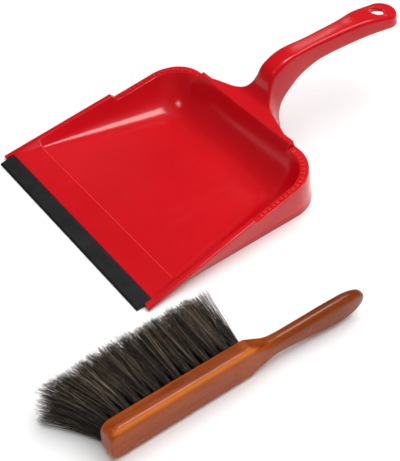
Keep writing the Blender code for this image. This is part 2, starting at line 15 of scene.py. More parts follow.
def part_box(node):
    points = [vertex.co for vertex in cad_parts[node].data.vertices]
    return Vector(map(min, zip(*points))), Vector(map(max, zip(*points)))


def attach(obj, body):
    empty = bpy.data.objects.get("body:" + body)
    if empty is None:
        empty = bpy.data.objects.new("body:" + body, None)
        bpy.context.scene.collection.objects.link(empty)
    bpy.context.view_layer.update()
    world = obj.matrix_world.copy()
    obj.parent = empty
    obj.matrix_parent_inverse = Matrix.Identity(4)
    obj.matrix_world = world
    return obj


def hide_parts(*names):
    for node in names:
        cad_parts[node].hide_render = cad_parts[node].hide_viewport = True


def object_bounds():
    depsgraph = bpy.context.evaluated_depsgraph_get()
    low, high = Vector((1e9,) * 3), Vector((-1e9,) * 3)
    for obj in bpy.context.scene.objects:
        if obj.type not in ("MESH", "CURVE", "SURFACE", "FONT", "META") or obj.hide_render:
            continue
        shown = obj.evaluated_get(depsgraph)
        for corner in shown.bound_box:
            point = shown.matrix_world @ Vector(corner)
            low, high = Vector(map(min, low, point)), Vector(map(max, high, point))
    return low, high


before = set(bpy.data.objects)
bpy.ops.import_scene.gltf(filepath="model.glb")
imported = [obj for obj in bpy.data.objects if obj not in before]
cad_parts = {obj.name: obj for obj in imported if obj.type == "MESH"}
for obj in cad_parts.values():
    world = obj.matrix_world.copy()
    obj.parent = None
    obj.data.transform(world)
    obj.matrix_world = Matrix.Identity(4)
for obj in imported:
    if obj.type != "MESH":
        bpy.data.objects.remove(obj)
cad_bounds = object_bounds()

MM = 0.001

# --- Places read from the frame ---
LIP_LOW, LIP_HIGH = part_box("rubber_lip")
BLOCK_LOW, BLOCK_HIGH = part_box("brush_block")
PAN_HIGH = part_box("dustpan")[1]
PAN_Y = LIP_LOW.y
LIP_WIDTH = LIP_HIGH.x - LIP_LOW.x
LIP_DEPTH = LIP_HIGH.y - LIP_LOW.y
LIP_HEIGHT = LIP_HIGH.z
BLOCK_WIDTH = BLOCK_HIGH.z

# --- Pan, as in the CAD ---
GAP = 0.3 * MM
WALL = 2.2 * MM
LIP_NOSE = 1.2 * MM
LIP_LEAF = 1.1 * MM  # rubber below the tongue
FLANGE_SIDE_GAP = 1.1 * MM
FLANGE_WIDTH = 5.5 * MM
RIM_BAND = 2.2 * MM
RIM_FRONT_Y = 7.8 * MM
RIM_FRONT_Z = 3.4 * MM
RIM_SLOPE = 0.2255
SIDE_TAPER = 0.067
RIM_REAR_Y = 209.5 * MM
RIM_CORNER = 37.0 * MM
SKIRT_INSET = 8.0 * MM
SKIRT_TAPER = 0.0347
SKIRT_REAR_Y = 223.0 * MM
SKIRT_CORNER = 42.0 * MM
FLOOR_Z = 5.0 * MM
RIDGE_Z = 7.0 * MM
RIDGE_Y = 42.7 * MM
RIDGE_STEP = 1.8 * MM
FRONT_WALL_RUN = 2.8 * MM
CREASE_INSET = 9.3 * MM
CREASE_REAR_INSET = 31.4 * MM
CREASE_REAR_RUN = 33.5 * MM
CREASE_CORNER = 20.0 * MM
LEDGE_DROP = 5.7 * MM
LEDGE_START_Y = 131.5 * MM
LEDGE_END_X = 70.0 * MM
NOTCH_RUN = 5.0 * MM
TOOTH_PITCH = 4.8 * MM
TOOTH_LENGTH = 2.5 * MM
TOOTH_DEPTH = 3.3 * MM
HANDLE_LENGTH = 188.5 * MM
HANDLE_END_RADIUS = 16.2 * MM
NECK_EDGE = 5.2 * MM
HANDLE_DRAFT = 1.8 * MM
HOLE_RADIUS = 7.8 * MM
HOLE_FROM_END = 24.5 * MM

# --- Pan, finer or softer than the CAD ---
RIM_ROUND = 1.3 * MM  # outer edge of the rim
LEDGE_ROUND = 0.9 * MM
INNER_ROUND = 0.8 * MM  # rim's edge into the tray
EDGE_STEPS = 6
WALL_STEPS = 16
UNDER_STEPS = 8
CREASE_FILLET = 2.2 * MM  # how far the side wall's foot curves up
FILLET_PART = 0.6  # share of the wall's steps spent on its curved foot
SIDE_BEND = 0.3  # how sharply a side wall leaves the floor
REAR_BEND = 0.7
FOOT_GROW = 0.6  # share of the wall's thickness that its foot moves out by
REAR_TURN = 1.1  # how early the fillet opens into the rear scoop
EAR_FRONT = 0.7 * MM  # rounding of the side flanges' front ends
TOOTH_HEIGHT = 1.2 * MM  # 1.5 mm in the CAD
TOOTH_START = -0.9 * MM  # nearer the tray than the CAD's
TOOTH_ROUND = 0.45 * MM
HANDLE_EDGE = 4.2 * MM  # 2.6 mm in the CAD
FOOT_ROUND = 0.4  # of the wall's thickness, at the handle's lower edges
HANDLE_SPAN_STEPS = 10
HANDLE_EDGE_STEPS = 9
HANDLE_END_STEPS = 20
HOLE_FLARE = 0.8 * MM
HOLE_SIDES = 64
FAR = 30.0 * MM
LIP_ROUND = 0.55 * MM  # upper edge of the rubber's nose
LIP_END = 0.5 * MM  # rounding of the rubber's two ends
LIP_SAG = 0.12 * MM  # hollow of the rubber's upper face
LIP_SPANS = 24

# --- Brush, as in the CAD ---
BLOCK_THICK = 14.5 * MM
BLOCK_LENGTH = 129.0 * MM
BLOCK_TOE = 9.0 * MM
BLOCK_BACK_EDGE = 5.0 * MM
BLOCK_FACE_EDGE = 1.5 * MM
GRIP_LENGTH = 117.0 * MM
NECK_WIDTH = 19.0 * MM
PADDLE_WIDTH = 27.0 * MM
GRIP_THICK = 11.5 * MM
GRIP_LIFT = 3.5 * MM
GRIP_DROP = 1.5 * MM
GRIP_ROUNDING = 0.94
PADDLE_END = 0.24  # share of the grip's length spent on its round end
TUFT_ROWS = 4
TUFT_COLUMNS = 14
TUFT_RADIUS = 2.8 * MM
TUFT_LENGTH = 60.0 * MM
TUFT_SEAT = 8.0 * MM
TUFT_MARGIN = 1.5 * MM
TUFT_PLAY = 0.1 * MM  # added to the gap round a tuft in its hole
TOE_FAN = math.radians(29)
HEEL_FAN = math.radians(5)
UP_FAN = math.radians(3.5)
DOWN_FAN = math.radians(0.6)
FLOOR_SPREAD = 0.13
FAN_TURN = 0.64  # share of the block's length where the fan turns
TOE_CURL = 2.2
HEEL_CURL = 1.5

# --- Brush, finer than the CAD ---
SECTION_STEPS = 10
TOE_STEPS = 18
BLOCK_SPANS = 12
GRIP_SPAN_STEPS = 10
PADDLE_STEPS = 24
PADDLE_TURN = math.radians(88)
PADDLE_FULLNESS = 0.8
PADDLE_THICK = 0.35  # thickness left at the very end
TUFT_HOLE_SIDES = 24
COUNTERSINK = 0.35 * MM

# --- Bristles ---
STRANDS_PER_TUFT = 190
STRAND_SIDES = 3
STRAND_STEPS = 9
STRAND_RADIUS = 0.13 * MM
CLUMPS_PER_TUFT = 7
STRAY_SHARE = 0.06
STRAY_REACH = 3.2  # how much further a stray strand strays
ROOT_PULL = 0.55  # how much of a tip's place comes from its root
CLUMP_PULL = 0.50
ROOT_FILL = 0.92  # share of the hole that the roots fill
TIP_SPREAD = (1.15, 1.7)  # across and along the rows, in half pitches
TIP_JITTER = (0.13, 0.17)
SHORTENING = 0.035  # of a bristle's length, at random
CLUMP_SHORTENING = 0.05
OPENING = 0.75  # below 1, a tuft opens early along its length
SWAY = 5.0  # radians of wave along a bristle
WAVE = 0.6 * MM
HAIR_SHARES = (0.52, 0.32, 0.16)
COARSE_HAIR = 1.45  # thickness of the grey hairs against the others
SEED = 7

# --- Camera: the photo's, fitted to the rim, the lip, the handle and the brush ---
VIEW_AZIMUTH = math.radians(53.23)
VIEW_ELEVATION = math.radians(44.05)
VIEW_DISTANCE = 0.8836
VIEW_TARGET = Vector((0.0715, 0.09235, 0.0))
VIEW_LENS = 76.50


# --- Mesh helpers ---
def mix(a, b, share):
    return a + (b - a) * share


def clamp(value):
    return max(0.0, min(1.0, value))


def smooth(value):
    value = clamp(value)
    return value * value * (3 - 2 * value)


def loft(rings, close=True):
    """A solid through rings of equal length."""
    count = len(rings[0])
    vertices = [point for ring in rings for point in ring]
    faces = [tuple(reversed(range(count)))]
    for level in range(len(rings) - 1):
        low, high = level * count, (level + 1) * count
        for i in range(count):
            j = (i + 1) % count
            faces.append((low + i, low + j, high + j, high + i))
    if close:
        top = (len(rings) - 1) * count
        faces.append(tuple(range(top, top + count)))
    return vertices, faces


def round_bar(x, y, levels, sides):
    """An upright bar through (z, radius) levels."""
    return loft([[Vector((x + radius * math.cos(a), y + radius * math.sin(a), z))
                  for a in (2 * math.pi * i / sides for i in range(sides))] for z, radius in levels])


def join(solids):
    vertices, faces = [], []
    for part_vertices, part_faces in solids:
        base = len(vertices)
        vertices += [tuple(v) for v in part_vertices]
        faces += [tuple(base + i for i in face) for face in part_faces]
    return vertices, faces


def make_piece(name, solid, place=Matrix.Identity(4), sharp=32):
    """A mesh object in the frame's own place, welded, with its faces pointing out."""
    vertices, faces = solid
    mesh = bpy.data.meshes.new(name)
    mesh.from_pydata([tuple(v) for v in vertices], [], faces)
    mesh.transform(place)
    grid = bmesh.new()
    grid.from_mesh(mesh)
    bmesh.ops.remove_doubles(grid, verts=grid.verts, dist=0.002 * MM)
    bmesh.ops.dissolve_degenerate(grid, edges=grid.edges, dist=0.002 * MM)
    bmesh.ops.recalc_face_normals(grid, faces=grid.faces)
    grid.to_mesh(mesh)
    grid.free()
    shade(mesh, sharp)
    return add_object(name, mesh)


def shade(mesh, sharp):
    mesh.shade_smooth()
    mesh.set_sharp_from_angle(angle=math.radians(sharp))


def add_object(name, data):
    item = bpy.data.objects.new(name, data)
    bpy.context.scene.collection.objects.link(item)
    return item


def apply_modifiers(piece):
    graph = bpy.context.evaluated_depsgraph_get()
    mesh = bpy.data.meshes.new_from_object(piece.evaluated_get(graph))
    piece.modifiers.clear()
    piece.data = mesh


def cut(piece, cutter):
    modifier = piece.modifiers.new("cut", 'BOOLEAN')
    modifier.operation = 'DIFFERENCE'
    modifier.solver = 'EXACT'
    modifier.object = cutter
    apply_modifiers(piece)
    bpy.data.objects.remove(cutter, do_unlink=True)


def smooth_curve(points, steps):
    """Points on a Catmull-Rom curve through the given tuples, steps to each span."""
    padded = [points[0], *points, points[-1]]
    result = []
    for k in range(len(points) - 1):
        p0, p1, p2, p3 = (np.array(p) for p in padded[k:k + 4])
        for i in range(steps):
            t = i / steps
            result.append(0.5 * ((2 * p1) + (p2 - p0) * t + (2 * p0 - 5 * p1 + 4 * p2 - p3) * t ** 2
                                 + (3 * p1 - p0 - 3 * p2 + p3) * t ** 3))
    result.append(np.array(points[-1]))
    return result


# --- Pan outlines ---
def rim_z(y):
    return RIM_FRONT_Z + RIM_SLOPE * (y - RIM_FRONT_Y)


def rim_half(y):
    return LIP_WIDTH / 2 + FLANGE_SIDE_GAP + FLANGE_WIDTH - SIDE_TAPER * (y - RIM_FRONT_Y)


def skirt_half(y):
    return rim_half(RIM_FRONT_Y) - SKIRT_INSET - SKIRT_TAPER * (y - RIM_FRONT_Y)


def inner_rim(y):
    return rim_half(y) - FLANGE_WIDTH


def outline_point(station, half_width, rear_y, corner):
    """Where a station lies on a U-shaped outline: a share of its side, an angle or a share of its rear."""
    kind, value = station
    side_end = rear_y - corner
    centre_x = half_width(side_end) - corner
    if kind == "side":
        y = mix(RIM_FRONT_Y, side_end, value)
        return Vector((half_width(y), y, 0.0))
    if kind == "corner":
        return Vector((centre_x + corner * math.cos(value), side_end + corner * math.sin(value), 0.0))
    return Vector((centre_x * (1 - value), rear_y, 0.0))


def rim_point(station, inset):
    return outline_point(station, lambda y: rim_half(y) - inset, RIM_REAR_Y - inset, RIM_CORNER - inset)


def skirt_point(station, inset):
    return outline_point(station, lambda y: skirt_half(y) - inset, SKIRT_REAR_Y - inset,
                         SKIRT_CORNER - inset)


RIM_SIDE_END = RIM_REAR_Y - RIM_CORNER
TRAY_FRONT_Y = LIP_DEPTH + GAP
HOLLOW_FRONT_Y = TRAY_FRONT_Y + WALL
FLOOR_START_Y = RIDGE_Y + RIDGE_STEP
LIP_SLOPE = (LIP_HEIGHT - LIP_NOSE) / LIP_DEPTH
TONGUE_TIP_Y = LIP_DEPTH / 2


def floor_height(y):
    """The ramp behind the lip, its crest and the step down to the flat floor."""
    ramp = LIP_HEIGHT + (RIDGE_Z - LIP_HEIGHT) / (RIDGE_Y - LIP_DEPTH) * (y - LIP_DEPTH)
    return mix(ramp, FLOOR_Z, smooth((y - RIDGE_Y + 0.2 * MM) / (RIDGE_STEP + 0.4 * MM)))


def floor_point(station):
    """The floor's edge at a station."""
    kind, value = station
    start_x = inner_rim(FLOOR_START_Y) - CREASE_INSET
    end_x = inner_rim(RIM_SIDE_END) - CREASE_REAR_INSET
    rear_y = RIM_REAR_Y - FLANGE_WIDTH - CREASE_REAR_RUN
    side_end = rear_y - CREASE_CORNER
    y = mix(RIM_FRONT_Y, RIM_SIDE_END, value) if kind == "side" else None
    if kind == "side" and y <= FLOOR_START_Y:
        share = clamp((y - LIP_DEPTH) / (FLOOR_START_Y - LIP_DEPTH))
        run = mix(FRONT_WALL_RUN, CREASE_INSET, share)
        return Vector((inner_rim(y) - run, y, floor_height(y)))
    if kind == "side":
        share = (y - FLOOR_START_Y) / (RIM_SIDE_END - FLOOR_START_Y)
        floor_y = mix(FLOOR_START_Y, side_end, share)
        return Vector((mix(start_x, end_x, share), floor_y, floor_height(floor_y)))
    centre_x = end_x - CREASE_CORNER
    if kind == "corner":
        return Vector((centre_x + CREASE_CORNER * math.cos(value),
                       side_end + CREASE_CORNER * math.sin(value), FLOOR_Z))
    return Vector((centre_x * (1 - value), rear_y, FLOOR_Z))


def ledge_depth(station):
    """How far the rim is cut down at a station."""
    middle = (rim_point(station, 0.0) + rim_point(station, FLANGE_WIDTH)) / 2
    along_side = (middle.y - LEDGE_START_Y + NOTCH_RUN) / NOTCH_RUN
    along_rear = (middle.x - LEDGE_END_X + NOTCH_RUN / 3) / (NOTCH_RUN / 3)
    return LEDGE_DROP * min(clamp(along_side), clamp(along_rear))


def depth_below_rim(point):
    return rim_z(point.y) - point.z


def at_depth(curve, depth):
    """The parameter where a rising curve passes this depth below the rim plane."""
    low, high = 0.0, 1.0
    for _ in range(30):
        middle = (low + high) / 2
        if depth_below_rim(curve(middle)) > depth:
            low = middle
        else:
            high = middle
    return low


def bend(a, b, c, steps):
    """A round corner from a to c, drawn towards b."""
    return [a * (1 - t) ** 2 + b * 2 * t * (1 - t) + c * t ** 2
            for t in (i / steps for i in range(steps + 1))]


def wall_curve(station, grow):
    """The tray's side wall as a curve from the floor, at 0, to the rim's inner edge, at 1."""
    foot, head = floor_point(station), rim_point(station, FLANGE_WIDTH)
    head.z = rim_z(head.y)
    out = Vector((head.x - foot.x, head.y - foot.y, 0.0))
    side = out.normalized()
    low = foot + side * grow * FOOT_GROW - Vector((0, 0, grow))
    high = head + side * grow
    knee = low + out * mix(SIDE_BEND, REAR_BEND, abs(side.y))
    rise = high - knee
    share = mix(min(1.0, CREASE_FILLET / rise.length), 1.0, smooth(abs(side.y) * REAR_TURN))
    top = knee + rise * share
    part = mix(FILLET_PART, 1.0, share)

    def curve(t):
        if t > part:
            return top.lerp(high, (t - part) / (1 - part))
        t /= part
        return low * (1 - t) ** 2 + knee * 2 * t * (1 - t) + top * t ** 2

    return curve


def top_profile(station):
    """The visible surface at a station, from the skirt's foot over the rim and down to the floor."""
    depth = ledge_depth(station)
    rim, foot = rim_point(station, 0.0), skirt_point(station, 0.0)
    band_foot = Vector((rim.x, rim.y, rim_z(rim.y) - RIM_BAND))
    if depth <= RIM_BAND:
        corner, down = Vector((rim.x, rim.y, rim_z(rim.y) - depth)), Vector((0, 0, -1))
    else:
        share = (depth - RIM_BAND) / (depth_below_rim(foot) - RIM_BAND)
        corner, down = band_foot.lerp(foot, share), (foot - band_foot).normalized()
    edge = mix(RIM_ROUND, LEDGE_ROUND, depth / LEDGE_DROP)
    wall = wall_curve(station, 0.0)
    t = at_depth(wall, depth)
    inner = wall(t)
    inward = (inner - corner).normalized()
    start = corner + down * edge
    low = start if depth + edge > RIM_BAND else band_foot
    t_low = t - INNER_ROUND / max((wall(t) - wall(t - 0.02)).length / 0.02, 1e-6)
    points = [foot, foot.lerp(low, 0.5), low]
    points += bend(start, corner, corner + inward * edge, EDGE_STEPS)
    points += bend(inner - inward * INNER_ROUND, inner, wall(t_low), EDGE_STEPS)
    points += [wall(t_low * (1 - i / WALL_STEPS)) for i in range(1, WALL_STEPS + 1)]
    return points


def under_profile(station, solid):
    """The hidden surface at a station, from the skirt's foot to the floor's underside."""
    if solid:
        foot, floor = skirt_point(station, 0.0), floor_point(station)
        floor.z = 0.0
        return [foot.lerp(floor, i / (UNDER_STEPS + 2)) for i in range(UNDER_STEPS + 3)]
    depth = ledge_depth(station) + WALL
    foot, edge = skirt_point(station, WALL), rim_point(station, WALL)
    edge.z = rim_z(edge.y) - WALL
    share = clamp((depth - WALL) / (depth_below_rim(foot) - WALL))
    wall = wall_curve(station, WALL)
    t = at_depth(wall, depth)
    points = [foot, foot.lerp(edge, (1 - share) / 2), edge.lerp(foot, share)]
    return points + [wall(t * (1 - i / (UNDER_STEPS - 1))) for i in range(UNDER_STEPS)]


def side_station(y):
    return "side", (y - RIM_FRONT_Y) / (RIM_SIDE_END - RIM_FRONT_Y)


def ear_station(y, squeeze):
    """A side flange in front of the tray: the same section, cut off flush with the lip pocket."""
    station = side_station(y)
    pocket = LIP_WIDTH / 2 + GAP
    top, under = top_profile(station), under_profile(station, True)
    for line in (top, under):
        for point in line:
            point.x, point.y = max(point.x, pocket), y
    corners = top + under
    for axis in (0, 2):
        low = min(point[axis] for point in corners)
        high = max(point[axis] for point in corners)
        middle, shrink = (low + high) / 2, 1 - 2 * squeeze / (high - low)
        for point in corners:
            point[axis] = middle + (point[axis] - middle) * shrink
    return top, under


def spaced(start, end, step):
    count = max(1, round((end - start) / step))
    return [mix(start, end, i / count) for i in range(count)]


def tray_stations():
    """(station, solid underneath) from the tray's front edge round to the middle of its rear."""
    ridge_start, ridge_end = RIDGE_Y - 1.4 * MM, FLOOR_START_Y + 1.2 * MM
    notch_start, notch_end = LEDGE_START_Y - NOTCH_RUN - 3 * MM, LEDGE_START_Y + 3 * MM
    rows = [(side_station(TRAY_FRONT_Y), True), (side_station(HOLLOW_FRONT_Y), True)]
    ys = spaced(HOLLOW_FRONT_Y, ridge_start, 3 * MM) + spaced(ridge_start, ridge_end, 0.25 * MM)
    ys += spaced(ridge_end, notch_start, 3 * MM) + spaced(notch_start, notch_end, 0.4 * MM)
    ys += spaced(notch_end, RIM_SIDE_END, 2.5 * MM)
    rows += [(side_station(y), False) for y in ys]
    rows += [(("corner", math.pi / 2 * i / 28), False) for i in range(28)]
    centre_x = rim_half(RIM_SIDE_END) - RIM_CORNER
    end_start, end_end = centre_x - 1.5 * MM, LEDGE_END_X - 3.5 * MM
    xs = spaced(-centre_x, -end_start, 0.5 * MM) + spaced(-end_start, -end_end, 0.25 * MM)
    xs += spaced(-end_end, 0.0, 3 * MM) + [0.0]
    rows += [(("rear", 1 + x / centre_x), False) for x in xs]
    return rows


def tray_solid():
    """Skirt, rim, walls and floor as one closed surface."""
    ears = [ear_station(RIM_FRONT_Y, EAR_FRONT),
            ear_station(RIM_FRONT_Y + EAR_FRONT * 0.3, EAR_FRONT * 0.3),
            ear_station(RIM_FRONT_Y + EAR_FRONT, 0.0), ear_station(TRAY_FRONT_Y, 0.0)]
    rows = tray_stations()
    right = ears + [(top_profile(station), under_profile(station, solid)) for station, solid in rows]
    left = [tuple([Vector((-p.x, p.y, p.z)) for p in line] for line in row)
            for row in reversed(right[:-1])]
    stations = right + left
    top_count, under_count = len(stations[0][0]), len(stations[0][1])
    count = top_count + under_count
    vertices = [point for top, under in stations for point in top + under]
    faces = []
    last = len(stations) - 1
    for i in range(last):
        a, b = i * count, (i + 1) * count
        for k in range(top_count - 1):
            faces.append((a + k, b + k, b + k + 1, a + k + 1))
        for k in range(top_count, count - 1):
            faces.append((a + k + 1, b + k + 1, b + k, a + k))
        faces.append((a, a + top_count, b + top_count, b))
        if i < len(ears) or i >= last - len(ears):
            faces.append((a + top_count - 1, b + top_count - 1, b + count - 1, a + count - 1))
    ring = list(range(top_count)) + list(range(count - 1, top_count - 1, -1))
    faces += [tuple(reversed(ring)), tuple(last * count + i for i in ring)]
    first = len(ears)
    straight = first + sum(station[0] != "rear" for station, _ in rows)
    for edge in (top_count - 1, count - 1):
        for i in range(first, straight):
            faces.append((i * count + edge, (i + 1) * count + edge,
                          (last - i - 1) * count + edge, (last - i) * count + edge))
        faces.append(tuple(i * count + edge for i in range(straight, last - straight + 1)))
    a, b = first * count, (last - first) * count
    faces.append((a + top_count - 1, b + top_count - 1, b + count - 1, a + count - 1))
    return vertices, [face for face in faces if len(face) > 2]


def tongue_solid():
    """The blade of the pan that the rubber lip is pushed onto."""
    root_y, under = TRAY_FRONT_Y + WALL / 2, LIP_LEAF + GAP
    tip_z = LIP_HEIGHT - LIP_SLOPE * (LIP_DEPTH - TONGUE_TIP_Y) - LIP_LEAF - GAP
    root_z = tip_z + LIP_SLOPE * (root_y - TONGUE_TIP_Y)
    profile = [(TONGUE_TIP_Y, under), (root_y, under), (root_y, root_z), (TONGUE_TIP_Y, tip_z)]
    half = LIP_WIDTH / 2 - GAP
    return loft([[Vector((x, y, z)) for y, z in profile] for x in (-half, half)])


def comb_places():
    """Even steps along the rim's inner edge beside the right-hand ledge, with the edge's direction."""
    edge = [rim_point(("side", i / 160), FLANGE_WIDTH) for i in range(160)]
    edge += [rim_point(("corner", math.pi / 2 * i / 60), FLANGE_WIDTH) for i in range(60)]
    edge += [rim_point(("rear", i / 40), FLANGE_WIDTH) for i in range(41)]
    run, travelled = TOOTH_PITCH, 0.0
    for a, b in zip(edge, edge[1:]):
        length = (b - a).length
        while travelled + length >= run:
            point = a.lerp(b, (run - travelled) / length)
            if point.y > LEDGE_START_Y + TOOTH_LENGTH and point.x > LEDGE_END_X + TOOTH_LENGTH:
                yield point, (b - a).normalized()
            run += TOOTH_PITCH
        travelled += length


def tooth_solid(point, along, sign):
    """One bar of the comb, with a rounded top."""
    outward = Vector((along.y, -along.x, 0.0))
    rings = []
    top = LEDGE_DROP - TOOTH_HEIGHT
    levels = [(LEDGE_DROP + WALL / 2, 0.0), (top + TOOTH_ROUND, 0.0)]
    levels += [(top + TOOTH_ROUND * (1 - math.sin(a)), TOOTH_ROUND * (1 - math.cos(a)))
               for a in (math.pi / 2 * i / 4 for i in range(1, 5))]
    start, end = TOOTH_START, TOOTH_DEPTH + TOOTH_START
    for depth, inset in levels:
        ring = []
        for out, length in ((start, -1), (end, -1), (end, 1), (start, 1)):
            out += inset if out == start else -inset
            corner = point + outward * out + along * length * (TOOTH_LENGTH / 2 - inset)
            ring.append(Vector((sign * corner.x, corner.y, rim_z(corner.y) - depth)))
        rings.append(ring)
    return loft(rings)


# --- Handle ---
def handle_stations():
    """Top y and z, lower edge y and z, half-width and edge rounding, from the rim back to the end.

    Unlike the CAD's, the root is flush with the rim, and one more station smooths the lower line.
    """
    rear_z = rim_z(RIM_REAR_Y)
    grip_start = 75 * MM
    grip_end = HANDLE_LENGTH - HANDLE_END_RADIUS - HANDLE_DRAFT
    # The root plate, the goose neck up from it and its run into the grip, in millimetres.
    root = [(-4.9, -0.98, 11, -46.5, LEDGE_END_X / MM - 4), (1.0, 0.36, 16, -43, 51),
            (7.5, 2.1, 22, -35, 30), (12, 5.9, 25.5, -25, 20), (16, 12.9, 28, -15, 14.4),
            (19, 21.8, 32, -5.7, 11.8), (23.5, 30.5, 37.5, 2.3, 11.3), (31.5, 36.1, 45, 9.8, 11.2),
            (40.5, 39.6, 54, 16.3, 10.6), (51.5, 41.2, 66, 21.3, 10.0), (75, 42.6, 79, 24.8, 9.6)]
    edges = [0.6, 0.8, 1.6, 2.6, 3.6, NECK_EDGE / MM, NECK_EDGE / MM, NECK_EDGE / MM, 4.2, 3.2,
             HANDLE_EDGE / MM]
    rows = [tuple(value * MM for value in (*row, edge)) for row, edge in zip(root, edges)]
    for share, top_z, low_z, half in ((0.22, 43.6, 26.8, 10.1), (0.45, 44.6, 28.0, 10.9),
                                      (0.7, 45.3, 29.9, 13.6)):
        y = mix(grip_start, grip_end, share)
        rows.append((y, top_z * MM, y, low_z * MM, half * MM, HANDLE_EDGE))
    rows.append((grip_end, 41.4 * MM, grip_end, 29.4 * MM, HANDLE_END_RADIUS, HANDLE_EDGE))
    return [(RIM_REAR_Y + top_y, rear_z + top_z, RIM_REAR_Y + low_y, rear_z + low_z, half, edge)
            for top_y, top_z, low_y, low_z, half, edge in rows]


def wall_line(top, low, half_top, half_low, edge):
    """Left wall from its foot up to the flat top, as seen along the handle, with a rounded edge."""
    down = (low - top).normalized()
    points = [low - Vector((half_low, 0, 0))]
    for step in range(HANDLE_EDGE_STEPS):
        angle = math.pi / 2 * step / (HANDLE_EDGE_STEPS - 1)
        x = half_top - edge * (1 - math.cos(angle))
        points.append(top - Vector((x, 0, 0)) + down * edge * (1 - math.sin(angle)))
    return points


def channel_ring(outer, inner):
    """One ring of the inverted-U section: over the outside, and back along the inside."""
    def other_side(line):
        return [Vector((-p.x, p.y, p.z)) for p in line]

    def rounded_foot(a, b, down):
        out = (b - a) * 0.5
        return [a + out * (1 - math.cos(t)) + down * FOOT_ROUND * WALL * math.sin(t)
                for t in (math.pi * i / 6 for i in range(7))]

    down = (outer[0] - outer[1]).normalized()
    lift = -down * FOOT_ROUND * WALL
    outer = [outer[0] + lift] + outer[1:]
    inner = [inner[0] + lift] + inner[1:]
    left_foot = rounded_foot(inner[0], outer[0], down)[1:-1]
    right_foot = list(reversed(other_side(left_foot)))
    return (outer + list(reversed(other_side(outer))) + right_foot
            + other_side(inner) + list(reversed(inner)) + left_foot)


def handle_rings():
    stations = smooth_curve(handle_stations(), HANDLE_SPAN_STEPS)
    rings = []
    for top_y, top_z, low_y, low_z, half, edge in stations:
        top, low = Vector((0, top_y, top_z)), Vector((0, low_y, low_z))
        inner_top = top + (low - top).normalized() * WALL
        foot = half + HANDLE_DRAFT
        inner_edge = max(edge - WALL, WALL / 3)
        top.z = min(top.z, PAN_HIGH.z)
        rings.append(channel_ring(wall_line(top, low, half, foot, edge),
                                  wall_line(inner_top, low, half - WALL, foot - WALL, inner_edge)))
    return rings + handle_end_rings(*stations[-1])


def handle_end_rings(end_y, top_z, _, low_z, radius, edge):
    """The round end: every line of the section turns about the same upright axis."""
    rings = []
    for step in range(1, HANDLE_END_STEPS + 1):
        angle = math.pi / 2 * step / HANDLE_END_STEPS
        lines = []
        for inset, rounding in ((0.0, edge), (WALL, max(edge - WALL, WALL / 3))):
            line = wall_line(Vector((0, 0, top_z - inset)), Vector((0, 0, low_z)), radius - inset,
                             radius + HANDLE_DRAFT - inset, rounding)
            lines.append(line)
        ring = channel_ring(*lines)
        rings.append([Vector((p.x * math.cos(angle), end_y + abs(p.x) * math.sin(angle), p.z))
                      for p in ring])
    return rings


def hole_cutter():
    """A round bar that flares where it leaves the grip, square to the grip's sloping top."""
    stations = smooth_curve(handle_stations(), HANDLE_SPAN_STEPS)
    hole_y = RIM_REAR_Y + HANDLE_LENGTH - HOLE_FROM_END
    low, high = min(zip(stations, stations[1:]),
                    key=lambda pair: abs((pair[0][0] + pair[1][0]) / 2 - hole_y))
    slope = (high[1] - low[1]) / (high[0] - low[0])
    top_z = low[1] + slope * (hole_y - low[0])
    levels = [(-FAR / 2, HOLE_RADIUS), (-HOLE_FLARE, HOLE_RADIUS)]
    levels += [(-HOLE_FLARE * math.cos(a), HOLE_RADIUS + HOLE_FLARE * (1 - math.sin(a)))
               for a in (math.pi / 2 * i / 5 for i in range(1, 6))]
    levels += [(HOLE_FLARE, HOLE_RADIUS + HOLE_FLARE * 1.9)]
    place = Matrix.Translation((0, hole_y + PAN_Y, top_z)) @ Matrix.Rotation(math.atan(slope), 4, 'X')
    return make_piece("hole_cutter", round_bar(0.0, 0.0, levels, HOLE_SIDES), place)


def build_pan():
    place = Matrix.Translation((0, PAN_Y, 0))
    handle = make_piece("handle", loft(handle_rings(), close=False), place)
    cut(handle, hole_cutter())
    teeth = [tooth_solid(point, along, sign) for point, along in comb_places() for sign in (1, -1)]
    body = make_piece("pan_shell", tray_solid(), place)
    extras = make_piece("comb", join(teeth + [tongue_solid()]), place)
    meshes = bmesh.new()
    for item in (body, handle, extras):
        meshes.from_mesh(item.data)
    pan = make_piece("pan_visual", ([], []))
    meshes.to_mesh(pan.data)
    meshes.free()
    shade(pan.data, 35)
    for item in (body, handle, extras):
        bpy.data.objects.remove(item, do_unlink=True)
    return pan


